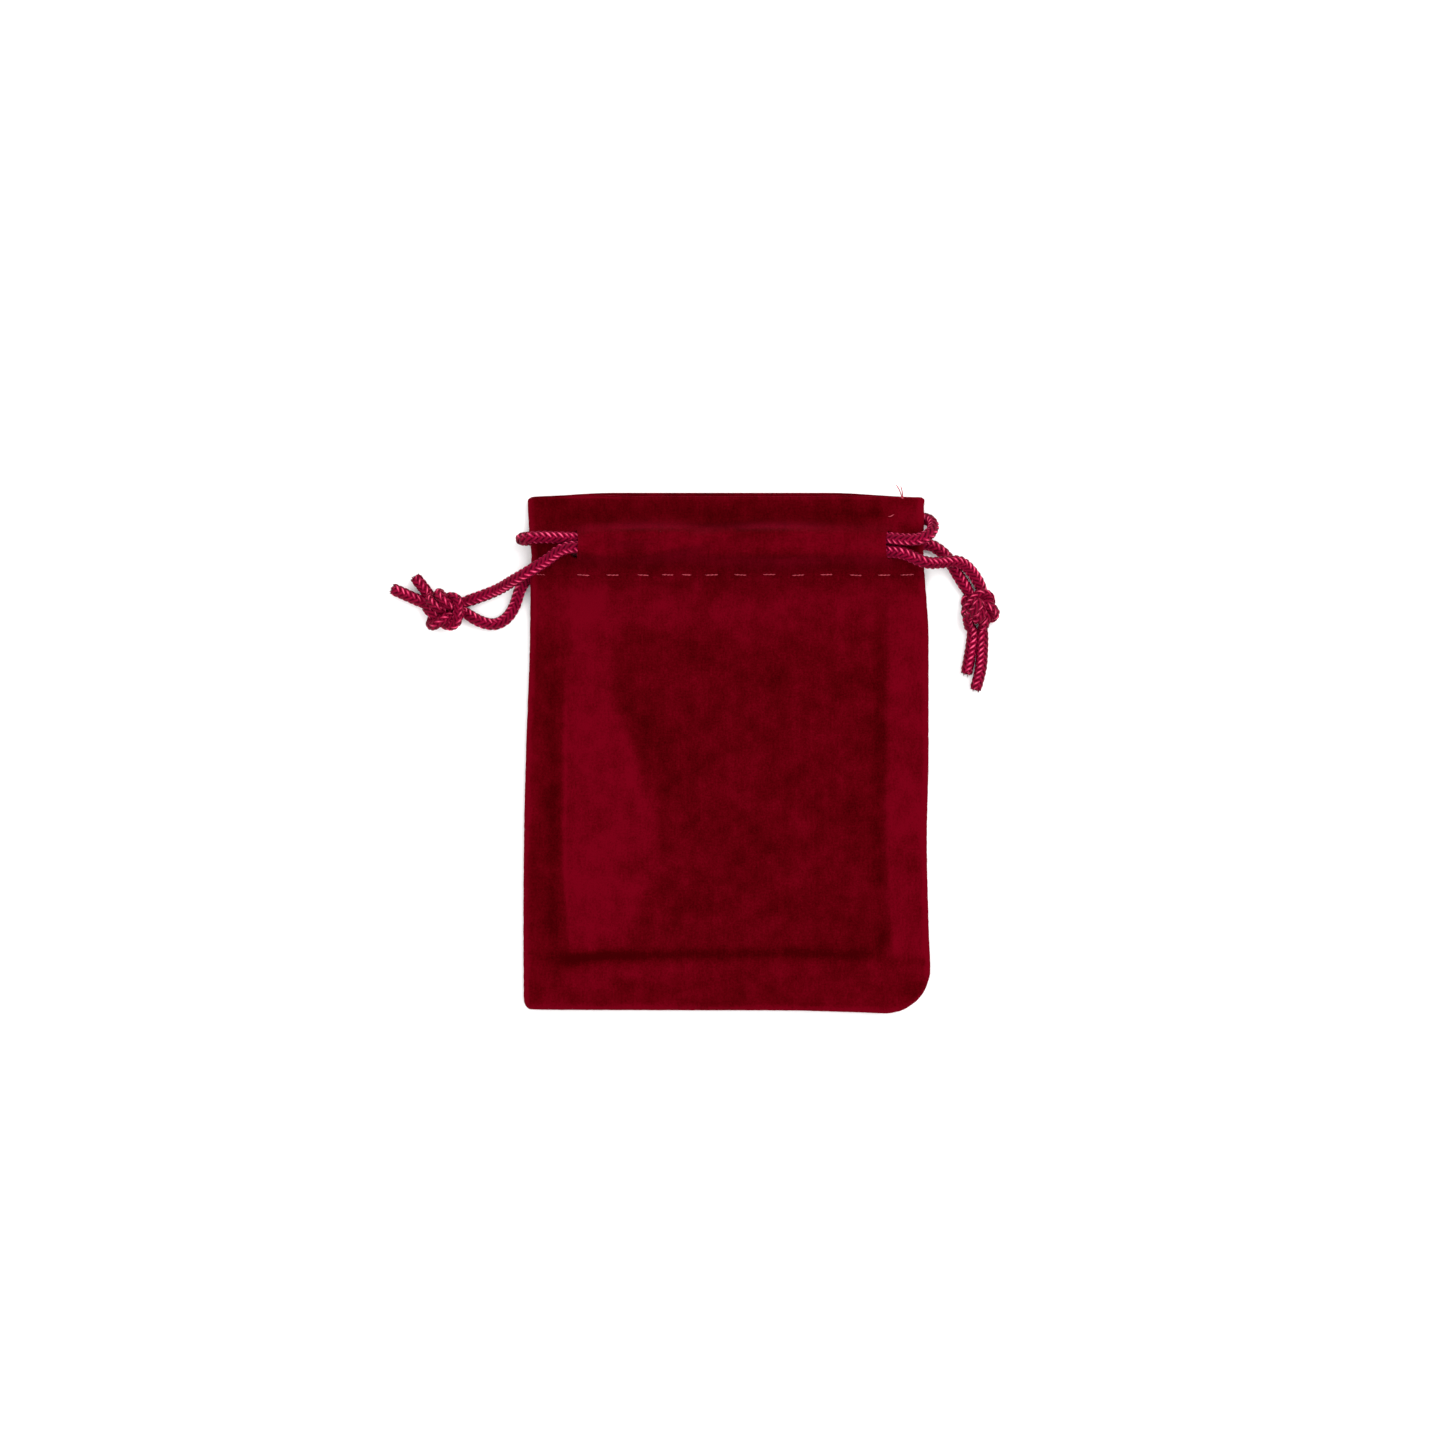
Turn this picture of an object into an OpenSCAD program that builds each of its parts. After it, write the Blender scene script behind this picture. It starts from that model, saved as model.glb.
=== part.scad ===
// Small flat drawstring pouch: two velvet panels sewn on three sides, with a turned-in
// casing along the mouth and two drawstrings that close it from opposite sides.
// Millimetres. The pouch lies on the XY plane, mouth towards +Y, front side up.

/* [Pouch] */
// Height of the pouch from bottom seam to mouth
pouch_h = 90.8; // [88:0.1:93]
// Width of the pouch at its widest
pouch_w = 71.2; // [70.8:0.1:73]
// Thickness of the velvet
cloth_t = 0.5; // [0.4:0.05:0.52]
// Height of the line where the casing is stitched down
hem_y = 31.2; // [31.1:0.05:31.3]
// Width of the seam allowances inside the side and bottom seams
allowance_w = 7.6; // [5:0.1:8]

/* [Drawstrings] */
// Diameter of each braided drawstring
cord_d = 2.2; // [1.6:0.05:2.2]

/* [Stitching] */
// Thickness of the sewing thread
thread_d = 0.3; // [0.2:0.05:0.35]
// Distance between hem stitches
hem_pitch = 5.2; // [4:0.1:6]
// Visible length of a hem stitch
hem_stitch = 2.3; // [1.5:0.1:3]
// Distance between seam stitches
seam_pitch = 3.2; // [2.8:0.1:5]
// Length of a seam stitch
seam_stitch = 2.2; // [1.2:0.1:2.4]

/* [Hidden] */
velvet = [0.42, 0.02, 0.09];
velvet_inside = [0.36, 0.02, 0.08];
cord_colour = [0.66, 0.04, 0.24];
thread_colour = [0.85, 0.25, 0.32];

half_h = pouch_h / 2;
half_w = pouch_w / 2;
// Where the plain lower panels end and the casing sheets begin
band_y = 24;
// Height that one layer of cord lifts the cloth above it
rise = 2.5;
// Vertical step from one ply to the next
ply = 0.55;
// Free height inside the flat pouch
slack = 0.7;
// Front ply where it lies on the three plies below it or on a seam allowance
front_base = 3 * ply + 0.06;
// Slits in the outer plies: inner lip, opening in X, and the span in Y
slit_left = -26.2;
slit_right = 28;
slit_open = 2.6;
slit_low = 33.9;
slit_high = 38.9;
// Where each drawstring crosses the other inside the casing
front_cross_x = -8;
back_cross_x = 9;

// ---- outline -------------------------------------------------------------------------
// Half width of the cloth at a height, left side and right side. The loops pinch it.
function left_edge(y) = -half_w + lookup(y, [[-45, 0], [-15, 0], [0, 0.4], [20, 1.2],
    [28, 1.3], [34, 1.6], [41, 1.6], [45, 1.1]]);
function right_edge(y) = half_w - lookup(y, [[-45, 0], [-36, 0], [-15, 0.8], [0, 0.6],
    [20, 0.6], [30, 1.2], [36, 1.6], [42, 1.6], [45, 1.2]]);
// Bottom seam line: nearly sharp left corner, rounded right corner
function bottom_edge(x) = -half_h + lookup(x, [[-35.6, 2.4], [-34.8, 1.3], [-33, 0.9],
    [-20, 0.6], [10, 0.6], [28, 0], [30, 0.5], [32.6, 2.2], [34.4, 4.4], [35.6, 7.4]]);

// ---- heights of the plies ------------------------------------------------------------
function ramp(a) = max(0, min(1, a));
// 0 over the casing, 1 beyond the slits where the drawstrings have left it
function outside(x) = x < 0 ? ramp((slit_left - x) / slit_open)
                            : ramp((x - slit_right) / slit_open);
// Hump of the cloth over the drawstrings inside the casing
function hump(y) = min(ramp((y - 31.9) / 2), ramp((43.4 - y) / 4.5));
function crossing(x, at) = ramp((9.5 - abs(x - at)) / 5);
// The front cloth also bulges at the left slit, where one drawstring rides over the other
function slit_bulge(x) = ramp((-20.2 - x) / 6);
function back_hump(x, y) = rise * hump(y) * (1 + crossing(x, back_cross_x));
function front_hump(x, y) = rise * hump(y)
    * (1 + max(crossing(x, front_cross_x), slit_bulge(x)));

// The stretches of drawstring that run underneath the pouch and lift its edges
UNDER = [[[-26.2, 37.5], [-36, 37.4]], [[-26.2, 35.3], [-29, 34.9]],
         [[-29, 34.9], [-36.4, 28.9]], [[28, 37.6], [31, 37.7]], [[31, 37.7], [35.5, 41.3]],
         [[28, 35.2], [36.4, 36.6]]];
function near(p, a, b) = let (d = b - a, t = ramp((p - a) * d / (d * d)))
    norm(p - a - t * d);
function edge_lift(x, y) = rise
    * ramp((5.3 - min([for (s = UNDER) near([x, y], s[0], s[1])])) / 3.1);
// The line of hem stitches puckers the cloth off the surface below
function pucker(y) = 0.4 * ramp((2.3 - abs(y - hem_y)) / 1.4);

function lift(x, y) = pucker(y) + (1 - outside(x)) * back_hump(x, y)
    + outside(x) * edge_lift(x, y);
function back_z(x, y) = pucker(y) + outside(x) * edge_lift(x, y);
function back_facing_z(x, y) = ply + lift(x, y);
function front_facing_z(x, y) = 1.95 * ply + lift(x, y);
function seat(x, y) = max(ramp((abs(x) - 23.6) / 3), ramp((-33.4 - y) / 3),
    ramp((y - band_y) / 4));
function front_z(x, y) = slack + (front_base - slack) * seat(x, y) + lift(x, y)
    + (1 - outside(x)) * front_hump(x, y);

// ---- sheets --------------------------------------------------------------------------
LEFT_END = -100;
RIGHT_END = 100;
COLUMNS = [LEFT_END, -32.6, -30.6, slit_left - slit_open, slit_left, -23.2, -20.2, -17.5,
           -12.5, -8, -3.5, 1.5, 4, 9, 14, 18.5, 23, 26.6, slit_right, slit_right + slit_open,
           32.6, RIGHT_END];
CASING_ROWS = [band_y, 27, 29, 30.4, 31.9, slit_low, 36.3, slit_high, 41.1, 43.4, 44.3];
FACING_ROWS = [30.4, 31.9, slit_low, 36.3, slit_high, 41.1, 43.4, 44.3];
PANEL_ROWS = [0, 0.06, 0.115, 0.165, 0.3, 0.45, 0.6, 0.75, 0.88, 1];
SLITS = [[slit_left - slit_open, slit_left], [slit_right, slit_right + slit_open]];

function column_x(c, y) = c == LEFT_END ? left_edge(y) : c == RIGHT_END ? right_edge(y) : c;
function in_slit(xa, xb, ya, yb) = ya >= slit_low && yb <= slit_high
    && len([for (s = SLITS) if (xa == s[0] && xb == s[1]) 1]) > 0;

// A sheet of cloth over a grid of [x, y, z of its underside]. keep[i][j] is true where a
// cell is cloth; a missing cell leaves a hole with its own walls.
module sheet(grid, keep) {
    ni = len(grid);
    nj = len(grid[0]);
    n = ni * nj;
    low = [for (c = grid) each c];
    high = [for (p = low) p + [0, 0, cloth_t]];
    function at(i, j) = i * nj + j;
    function cloth(i, j) = i >= 0 && j >= 0 && i < ni - 1 && j < nj - 1 && keep[i][j];
    function wall(a, b) = [[a, b, b + n], [a, b + n, a + n]];
    faces = [for (i = [0:ni - 2], j = [0:nj - 2]) if (cloth(i, j))
        let (a = at(i, j), b = at(i + 1, j), c = at(i + 1, j + 1), d = at(i, j + 1))
        each concat([[a, b, c], [a, c, d], [a + n, c + n, b + n], [a + n, d + n, c + n]],
            cloth(i, j - 1) ? [] : wall(b, a),
            cloth(i + 1, j) ? [] : wall(c, b),
            cloth(i, j + 1) ? [] : wall(d, c),
            cloth(i - 1, j) ? [] : wall(a, d))];
    polyhedron(concat(low, high), faces);
}
function whole(grid) = [for (i = [0:len(grid) - 2]) [for (j = [0:len(grid[0]) - 2]) true]];

module back_panel() {
    rows = [for (y = [-37.5, -30, -15, 0, 20, band_y]) y];
    color(velvet) linear_extrude(cloth_t) polygon(concat(
        [for (x = [-34.8, -33, -20, 10, 28, 30, 32.6, 34.4]) [x, bottom_edge(x)]],
        [for (y = rows) [right_edge(y), y]],
        [for (k = [5:-1:0]) [left_edge(rows[k]), rows[k]]],
        [[-35.4, -42.8]]));
}
module front_panel() {
    inner = [for (c = COLUMNS) if (abs(c) < 100) c];
    all = concat([-35.2], inner, [34.4]);
    grid = [for (i = [0:len(all) - 1]) let (low = bottom_edge(all[i])) [for (t = PANEL_ROWS)
        let (y = low + (band_y - low) * t,
             x = i == 0 ? left_edge(y) : i == len(all) - 1 ? right_edge(y) : all[i])
        [x, y, front_z(x, y)]]];
    color(velvet) sheet(grid, whole(grid));
}
module casing_sheet(top, z) {
    rows = concat(CASING_ROWS, [top]);
    grid = [for (c = COLUMNS) [for (y = rows) let (x = column_x(c, y)) [x, y, z(x, y)]]];
    keep = [for (i = [0:len(COLUMNS) - 2]) [for (j = [0:len(rows) - 2])
        !in_slit(COLUMNS[i], COLUMNS[i + 1], rows[j], rows[j + 1])]];
    sheet(grid, keep);
}
module facing_sheet(top, z) {
    rows = concat(FACING_ROWS, [top]);
    grid = [for (c = COLUMNS) [for (y = rows) let (x = column_x(c, y)) [x, y, z(x, y)]]];
    sheet(grid, whole(grid));
}
module back_casing() {
    color(velvet) casing_sheet(half_h, function(x, y) back_z(x, y));
}
module front_casing() {
    color(velvet) casing_sheet(half_h - 0.5, function(x, y) front_z(x, y));
}
module back_facing() {
    color(velvet_inside) facing_sheet(half_h - 0.5, function(x, y) back_facing_z(x, y));
}
module front_facing() {
    color(velvet_inside) facing_sheet(half_h - 0.9, function(x, y) front_facing_z(x, y));
}

// ---- seams ---------------------------------------------------------------------------
allowance_z = cloth_t + 0.05;
allowance_t = 2 * cloth_t;
allowance_low = -37;
allowance_in = 0.9;
module side_allowance(edge, inward) {
    rows = [allowance_low, -15, 0, 20, band_y];
    color(velvet_inside) translate([0, 0, allowance_z]) linear_extrude(allowance_t)
        polygon(concat([for (y = rows) [edge(y) + inward * allowance_in, y]],
            [for (k = [4:-1:0]) [edge(rows[k]) + inward * allowance_w, rows[k]]]));
}
module left_seam_allowance() {
    side_allowance(function(y) left_edge(y), 1);
}
module right_seam_allowance() {
    side_allowance(function(y) right_edge(y), -1);
}
module bottom_seam_allowance() {
    color(velvet_inside) translate([0, 0, allowance_z]) linear_extrude(allowance_t)
        polygon([[-33.6, -43.4], [28, -44.2], [31, -42.4], [31, allowance_low - 0.1],
                 [-33.6, allowance_low - 0.1]]);
}
seam_z = allowance_z + allowance_t / 2;
module stitch(a, b) {
    d = b - a;
    color(thread_colour) translate(a) rotate([0, acos(d[2] / norm(d)), atan2(d[1], d[0])])
        cylinder(h = norm(d), d = thread_d, $fn = 24);
}
module side_seam(edge, inward) {
    for (y = [allowance_low:seam_pitch:band_y - seam_stitch]) {
        x = edge(y) + inward * 0.45;
        stitch([x, y, seam_z], [edge(y + seam_stitch) + inward * 0.45, y + seam_stitch, seam_z]);
    }
}
module left_seam_stitching() {
    side_seam(function(y) left_edge(y), 1);
}
module right_seam_stitching() {
    side_seam(function(y) right_edge(y), -1);
}
module bottom_seam_stitching() {
    for (x = [-32.6:seam_pitch:28 - seam_stitch])
        stitch([x, bottom_edge(x) + 0.45, seam_z],
               [x + seam_stitch, bottom_edge(x + seam_stitch) + 0.45, seam_z]);
}
// Hem stitches: short dashes with a gap between, along the lower edge of the casing
hem_first_x = -24.7;
hem_last_x = 33;
module front_hem_stitching() {
    z = front_base + cloth_t + 0.4 + thread_d / 2 + 0.15;
    for (x = [hem_first_x:hem_pitch:hem_last_x - hem_stitch]) {
        up = max(edge_lift(x, hem_y) * outside(x),
            edge_lift(x + hem_stitch, hem_y) * outside(x + hem_stitch));
        stitch([x, hem_y, z + up], [x + hem_stitch, hem_y, z + up]);
    }
}
module back_hem_stitching() {
    for (x = [hem_first_x:hem_pitch:25 - hem_stitch])
        stitch([x, hem_y, thread_d / 2], [x + hem_stitch, hem_y, thread_d / 2]);
}

// ---- drawstrings ---------------------------------------------------------------------
// Each route starts and ends in its own knot: front strand, front casing, round the far
// edge of the pouch, back casing, back strand.
LEFT_ROUTE = [
    [-46.4, 26.6, 2], [-43, 27.4, 1.15], [-40, 28.7, 2.2], [-37.4, 30.1, 4.7],
    [-35, 31.4, 6.1], [-31.5, 33.5, 6.1], [-28.4, 35.6, 6.9], [-26.4, 35.9, 7.3],
    [-22.8, 35.3, 5.9], [-20.6, 35.3, 5.4], [-16.4, 35.3, 5.4], [-12.4, 35.6, 7.2],
    [-8, 36.5, 7.85], [-3.6, 37.3, 7.2], [0, 37.7, 5.9], [4.5, 37.7, 7.8],
    [13.5, 37.7, 7.8], [18.6, 37.7, 5.4], [28, 37.5, 5.4], [31, 37.2, 5.95],
    [33.6, 37.3, 5.95], [35.2, 38.1, 5.5], [36, 39.2, 4.3], [35.9, 40.4, 2.7],
    [34.7, 41.2, 1.4], [30.8, 37.7, 1.2], [28, 37.6, 1.75], [17, 37.7, 1.75],
    [13.2, 37.3, 3.55], [9, 36.5, 4.25], [4.8, 35.7, 3.55], [1, 35.3, 1.75],
    [-26.2, 35.3, 1.7], [-29, 35, 1.15], [-36.3, 28.7, 1.15], [-37.3, 25.6, 1.15],
    [-38.9, 23.4, 1.15], [-41.6, 22.4, 1.15], [-44.5, 23.3, 1.3], [-46.4, 24.1, 2]];
RIGHT_ROUTE = [
    [44.5, 27.6, 2.1], [44, 30.2, 1.2], [42.5, 32.6, 1.6], [40.9, 33.5, 2.8],
    [37.2, 33.3, 4.4], [35, 33.2, 5.6], [32.8, 34, 5.95], [30.8, 34.9, 5.9],
    [28, 35.2, 5.4], [18.6, 35.3, 5.4], [13.5, 35.3, 7.8], [4.5, 35.3, 7.8],
    [0, 35.3, 5.9], [-3.6, 35.5, 5.4], [-12.4, 37.3, 5.4], [-17, 37.7, 5.4],
    [-26.4, 37.5, 5.35], [-28.8, 37.6, 5.85], [-32.4, 37.7, 5.95], [-34.6, 37.6, 5.7],
    [-35.8, 37.5, 4.5], [-35.9, 37.4, 2.8], [-34.9, 37.4, 1.5], [-29, 37.5, 1.15],
    [-26.2, 37.6, 1.7], [0.6, 37.7, 1.75], [4.8, 37.45, 1.75], [13.2, 35.55, 1.75],
    [17, 35.3, 1.75], [28, 35.2, 1.7], [31, 35.4, 1.15], [35.2, 36.7, 1.15],
    [37.6, 35.4, 1.15], [41, 30.2, 1.15], [42.1, 27.9, 2]];
LEFT_TAILS = [
    [[-52.6, 26.4, 2], [-58.8, 28.5, 1.15]],
    [[-51.4, 28.3, 2.3], [-54.8, 30.5, 1.15]]];
RIGHT_TAILS = [
    [[42.7, 21.8, 2.2], [42.4, 18.4, 1.15], [42, 14.2, 1.15]],
    [[45.1, 21.6, 2], [43.8, 11, 1.15]]];
SIDES = 8;

// A tube with one ring of points at each point of its route
function unit(v) = v / norm(v);
function direction(r, i) = unit(unit(r[min(i + 1, len(r) - 1)] - r[max(i, 0)])
    + unit(r[min(i, len(r) - 1)] - r[max(i - 1, 0)]));
function heading(r, i) = i == 0 ? unit(r[1] - r[0])
    : i == len(r) - 1 ? unit(r[i] - r[i - 1]) : direction(r, i);
function side(r, i) = i == 0 ? unit(cross(heading(r, 0), [0, 0, 1]))
    : let (h = heading(r, i), s = side(r, i - 1)) unit(s - (s * h) * h);
module tube(r) {
    n = len(r);
    points = [for (i = [0:n - 1]) let (h = heading(r, i), s = side(r, i), u = cross(s, h))
        for (k = [0:SIDES - 1]) let (a = 360 * (k + 0.5) / SIDES)
            r[i] + cord_d / 2 * (cos(a) * s + sin(a) * u)];
    faces = concat([[for (k = [SIDES - 1:-1:0]) k]],
        [for (i = [0:n - 2], k = [0:SIDES - 1])
            let (m = (k + 1) % SIDES, a = i * SIDES + k, b = i * SIDES + m)
            each [[a, b + SIDES, a + SIDES], [a, b, b + SIDES]]],
        [[for (k = [0:SIDES - 1]) (n - 1) * SIDES + k]]);
    polyhedron(points, faces);
}
module knot(balls) {
    color(cord_colour) hull() for (b = balls)
        translate([b[0], b[1], b[2]]) sphere(r = b[3], $fn = 20);
}
module left_cord() {
    color(cord_colour) tube(LEFT_ROUTE);
}
module right_cord() {
    color(cord_colour) tube(RIGHT_ROUTE);
}
module left_tails() {
    color(cord_colour) for (t = LEFT_TAILS) tube(t);
}
module right_tails() {
    color(cord_colour) for (t = RIGHT_TAILS) tube(t);
}
module left_knot() {
    knot([[-48.4, 26.3, 2.7, 2.5], [-48.3, 24, 2.6, 2.4], [-50.8, 24.3, 2.8, 2.7],
          [-51, 26.5, 2.6, 2.3]]);
}
module right_knot() {
    knot([[43.4, 25.9, 2.6, 2.5], [45.1, 26.2, 2.6, 2.3], [43.5, 23.5, 2.7, 2.4],
          [45.2, 23.5, 2.5, 2.2]]);
}

back_panel();
front_panel();
back_casing();
front_casing();
back_facing();
front_facing();
left_seam_allowance();
right_seam_allowance();
bottom_seam_allowance();
left_seam_stitching();
right_seam_stitching();
bottom_seam_stitching();
front_hem_stitching();
back_hem_stitching();
left_cord();
left_knot();
left_tails();
right_cord();
right_knot();
right_tails();
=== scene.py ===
import bpy
import numpy as np
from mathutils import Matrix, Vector


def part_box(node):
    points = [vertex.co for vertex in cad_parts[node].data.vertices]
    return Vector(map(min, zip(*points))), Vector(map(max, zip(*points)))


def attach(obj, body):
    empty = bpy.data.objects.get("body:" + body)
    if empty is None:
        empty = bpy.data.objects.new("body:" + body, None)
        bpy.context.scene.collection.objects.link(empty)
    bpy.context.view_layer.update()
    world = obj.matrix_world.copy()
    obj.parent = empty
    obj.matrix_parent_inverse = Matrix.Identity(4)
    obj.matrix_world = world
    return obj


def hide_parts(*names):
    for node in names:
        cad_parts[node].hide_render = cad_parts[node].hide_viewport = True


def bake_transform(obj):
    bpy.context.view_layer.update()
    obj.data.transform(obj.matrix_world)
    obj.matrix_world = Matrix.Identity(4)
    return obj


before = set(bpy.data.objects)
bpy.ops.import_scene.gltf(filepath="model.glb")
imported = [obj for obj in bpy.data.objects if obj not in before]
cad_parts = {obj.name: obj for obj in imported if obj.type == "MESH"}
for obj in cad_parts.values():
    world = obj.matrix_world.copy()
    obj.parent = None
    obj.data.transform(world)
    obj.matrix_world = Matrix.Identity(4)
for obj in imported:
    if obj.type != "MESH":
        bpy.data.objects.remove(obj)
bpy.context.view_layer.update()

# Places and sizes are in millimetres, in the frame's own axes, and are written to the meshes
# in metres. The lights and the materials' bumps are given in metres. +Y is the pouch's mouth,
# and +Z points up out of its front panel.
MM = 0.001


def span(node):
    low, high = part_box(node)
    return np.array(low) / MM, np.array(high) / MM


# ---- places taken from the frame ----
panel_low, panel_high = span("back_panel")
hem_low, hem_high = span("front_hem_stitching")
HALF_W = (panel_high[0] - panel_low[0]) / 2
HALF_H = span("back_casing")[1][1]
BAND_Y = panel_high[1]                    # where the panels give way to the casings
HEM_Y = (hem_low[1] + hem_high[1]) / 2
FRONT_TOP = span("front_casing")[1][1]    # the front's fold at the mouth
CLOTH = panel_high[2] - panel_low[2]      # thickness of the velvet
PLY = CLOTH + 0.05                        # and of one ply with the air under it
SLACK = 0.7                               # height of the front's underside in the middle
FRONT_BASE = 3 * PLY                      # and over the seam allowances
FACING_Y = 30.4                           # lower edge of the facings
CORD = 2.2                                # diameter of the drawstrings
TRAVEL = 22.0                             # how far each of them pulls out
SIDES = {"left": -1, "right": 1}
# The slit in each side's casings, how far past it the cloth closes up, and its two ends
SLIT = {-1: -26.2, 1: 28.0}
SLIT_OPEN, SLIT_LOW, SLIT_HIGH = 2.6, 33.9, 38.9
# Hem stitches: where each starts and how long it is
HEM = [(-33.4, 1.7), (-26.4, 2.4), (-21.2, 2.3), (-15.7, 2.1), (-11.5, 2.2), (-7.9, 1.7),
       (-3.9, 2.4), (1.2, 2.3), (6.2, 2.4), (11.3, 2.3), (16.3, 2.3), (21.4, 2.3),
       (26.4, 2.3), (30.3, 2.6)]

# ---- camera and light ----
VIEW_WIDTH = 252.0
VIEW_CENTRE = (-1.2, 5.8, 3.0)
LENS, SENSOR = 100.0, 36.0


def make_camera():
    data = bpy.data.cameras.new("camera")
    data.lens, data.sensor_width, data.clip_start, data.clip_end = LENS, SENSOR, 0.01, 20
    camera = bpy.data.objects.new("camera", data)
    bpy.context.scene.collection.objects.link(camera)
    distance = VIEW_WIDTH * LENS / SENSOR
    x, y, z = VIEW_CENTRE
    camera.location = (x * MM, y * MM, (z + distance) * MM)
    bpy.context.scene.camera = camera


def area_light(name, place, aim, size, watts, colour=(1, 1, 1)):
    data = bpy.data.lights.new(name, "AREA")
    data.shape, data.size, data.energy, data.color = "DISK", size, watts, colour
    light = bpy.data.objects.new(name, data)
    light.location = place
    light.rotation_euler = (Vector(aim) - Vector(place)).to_track_quat("-Z", "Y").to_euler()
    bpy.context.scene.collection.objects.link(light)


def make_light():
    scene = bpy.context.scene
    scene.view_settings.view_transform = "Standard"
    scene.view_settings.look = "None"
    world = bpy.data.worlds.new("world")
    scene.world = world
    world.use_nodes = True
    sky = world.node_tree.nodes["Background"]
    sky.inputs["Color"].default_value = (1, 1, 1, 1)
    sky.inputs["Strength"].default_value = 1.25
    area_light("key", (0.45, 0.35, 0.75), (0, 0, 0), 0.7, 6.0)
    area_light("fill", (-0.6, -0.3, 0.9), (0, 0, 0), 0.8, 3.0)


# ---- small numeric helpers ----
def ramp(a):
    return np.clip(a, 0.0, 1.0)


def soft(a):
    t = ramp(a)
    return t * t * (3 - 2 * t)


def lerp(a, b, t):
    return a + (b - a) * t


def hermite(t, h, start, end, leaves, arrives):
    """A curve from start to end over a length h, given its slopes at both."""
    return ((2 * t**3 - 3 * t**2 + 1) * start + (t**3 - 2 * t**2 + t) * h * leaves
            + (3 * t**2 - 2 * t**3) * end + (t**3 - t**2) * h * arrives)


class Curve:
    """A smooth curve through a few points, as a function of one number."""

    def __init__(self, *points):
        self.x = np.array([p[0] for p in points], float)
        self.y = np.array([p[1] for p in points], float)
        step = np.diff(self.y) / np.diff(self.x)
        inner = np.where(step[1:] * step[:-1] > 0,
                         2 * step[1:] * step[:-1] / (step[1:] + step[:-1] + 1e-12), 0)
        self.m = np.concatenate([[step[0]], inner, [step[-1]]])

    def __call__(self, x):
        x = np.clip(x, self.x[0], self.x[-1])
        i = np.clip(np.searchsorted(self.x, x) - 1, 0, len(self.x) - 2)
        h = self.x[i + 1] - self.x[i]
        return hermite((x - self.x[i]) / h, h, self.y[i], self.y[i + 1], self.m[i],
                       self.m[i + 1])


class Waves:
    """Smooth random unevenness: a sum of plane waves with seeded directions and phases."""

    def __init__(self, seed, shortest, longest, count=24, stretch=(1.0, 1.0)):
        draw = np.random.default_rng(seed)
        length = np.exp(draw.uniform(np.log(shortest), np.log(longest), count))
        angle = draw.uniform(0, 2 * np.pi, count)
        self.k = 2 * np.pi * np.stack([np.cos(angle) / length / stretch[0],
                                       np.sin(angle) / length / stretch[1]])
        self.phase = draw.uniform(0, 2 * np.pi, count)
        self.size = (length / longest) ** 0.5
        self.size = self.size / np.sqrt((self.size**2).sum() / 2)

    def __call__(self, x, y):
        angle = np.multiply.outer(x, self.k[0]) + np.multiply.outer(y, self.k[1]) + self.phase
        return np.sin(angle) @ self.size


# ---- drawstrings: the CAD model's routes, apart from their two ends and their tails ----
LEFT_ROUTE = [
    (-43, 27.5, 1.2), (-40, 28.7, 2.2), (-37.4, 30.1, 4.7), (-35, 31.4, 6.1),
    (-31.5, 33.5, 6.1), (-28.4, 35.6, 6.9), (-26.4, 35.9, 7.3), (-22.8, 35.3, 5.9),
    (-20.6, 35.3, 5.4), (-16.4, 35.3, 5.4), (-12.4, 35.6, 7.2), (-8, 36.5, 7.85),
    (-3.6, 37.3, 7.2), (0, 37.7, 5.9), (4.5, 37.7, 7.8), (13.5, 37.7, 7.8),
    (18.6, 37.7, 5.4), (28, 37.5, 5.4), (31, 37.2, 5.95), (33.6, 37.3, 5.95),
    (35.2, 38.1, 5.5), (36, 39.2, 4.3), (35.9, 40.4, 2.7), (34.7, 41.2, 1.4),
    (30.8, 37.7, 1.2), (28, 37.6, 1.75), (17, 37.7, 1.75), (13.2, 37.3, 3.55),
    (9, 36.5, 4.25), (4.8, 35.7, 3.55), (1, 35.3, 1.75), (-26.2, 35.3, 1.7),
    (-29, 35, 1.15), (-36.3, 28.7, 1.15), (-37.3, 25.6, 1.15), (-38.9, 23.4, 1.15),
    (-41.6, 22.4, 1.15), (-43.2, 22.6, 1.15)]
RIGHT_ROUTE = [
    (44.1, 30.4, 1.15), (42.5, 32.6, 1.6), (40.9, 33.5, 2.8), (37.2, 33.3, 4.4),
    (35, 33.2, 5.6), (32.8, 34, 5.95), (30.8, 34.9, 5.9), (28, 35.2, 5.4),
    (18.6, 35.3, 5.4), (13.5, 35.3, 7.8), (4.5, 35.3, 7.8), (0, 35.3, 5.9),
    (-3.6, 35.5, 5.4), (-12.4, 37.3, 5.4), (-17, 37.7, 5.4), (-26.4, 37.5, 5.35),
    (-28.8, 37.6, 5.85), (-32.4, 37.7, 5.95), (-34.6, 37.6, 5.7), (-35.8, 37.5, 4.5),
    (-35.9, 37.4, 2.8), (-34.9, 37.4, 1.5), (-29, 37.5, 1.15), (-26.2, 37.6, 1.7),
    (0.6, 37.7, 1.75), (4.8, 37.45, 1.75), (13.2, 35.55, 1.75), (17, 35.3, 1.75),
    (28, 35.2, 1.7), (31, 35.4, 1.15), (35.2, 36.7, 1.15), (37.6, 35.4, 1.15),
    (41, 30.4, 1.15)]
# Each tail runs from where it leaves the knot to its cut end; the first one belongs to the
# route's first strand
LEFT_TAILS = [[(-52.5, 28.1, 2.0), (-54.8, 31.0, 1.2)],
              [(-53.0, 26.1, 1.5), (-56.0, 27.6, 1.15), (-58.8, 28.9, 1.15)]]
RIGHT_TAILS = [[(44.9, 21.4, 1.6), (44.6, 15, 1.15), (43.6, 11, 1.15)],
               [(42.9, 21.4, 1.6), (42.6, 17, 1.15), (42.0, 13.8, 1.15)]]
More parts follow.
